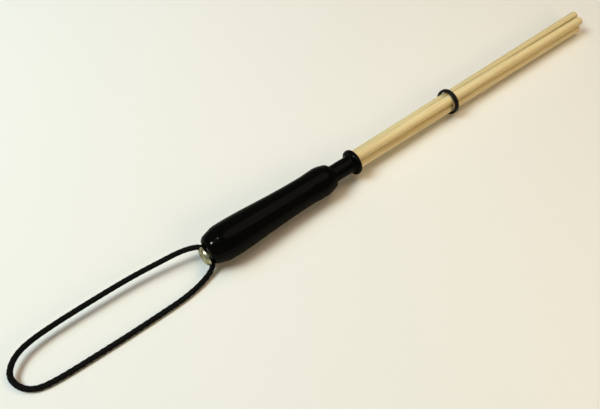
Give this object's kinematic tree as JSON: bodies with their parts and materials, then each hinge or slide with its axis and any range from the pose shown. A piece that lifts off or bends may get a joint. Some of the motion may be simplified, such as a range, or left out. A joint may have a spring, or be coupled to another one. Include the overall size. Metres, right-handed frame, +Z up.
{
  "type": "dowel training stick",
  "caption": "Turned black grip with a narrow collar holding slim wooden dowels gathered by a sliding rubber ring, and a braided wrist loop held under a cup washer and screw at the butt.",
  "frame": {"origin": "on the surface the stick lies on, below the middle of the stick's length, on the grip's axis seen from above", "axes": "+X along the stick from the butt towards the dowel tips, +Y to the left, +Z up"},
  "size_m": [0.5844, 0.0396, 0.0286],
  "materials": {
    "black_lacquer": "turned wood under high-gloss black lacquer",
    "pale_wood": "bare straight-grained dowel, sanded",
    "black_rubber": "smooth moulded rubber",
    "brass": "polished",
    "black_cord": "round braided cord"
  },
  "bodies": {
    "handle": {"grip": "black_lacquer", "collar": "black_lacquer", "dowel_middle": "pale_wood", "dowel_lower": "pale_wood", "cup_washer": "brass", "butt_screw": "brass", "wrist_cord": "black_cord"},
    "ring": {"o_ring": "black_rubber"},
    "upper_dowel": {"dowel_upper": "pale_wood"}
  },
  "joints": [
    {"name": "ring_slide", "type": "slide", "parent": "handle", "child": "ring", "axis": [0.9999, 0, -0.0115], "range_m": [-0.09, 0.108]},
    {"name": "dowel_flex", "type": "hinge", "parent": "handle", "child": "upper_dowel", "pos_m": [-0.07936, 0.00533, 0.0117], "axis": [0.0072, -0.7771, 0.6293], "range_deg": [-0.63, 0.53]}
  ],
  "couplings": [
    {"joint": "dowel_flex", "follows": "ring_slide", "rad_per_m": -0.1}
  ]
}
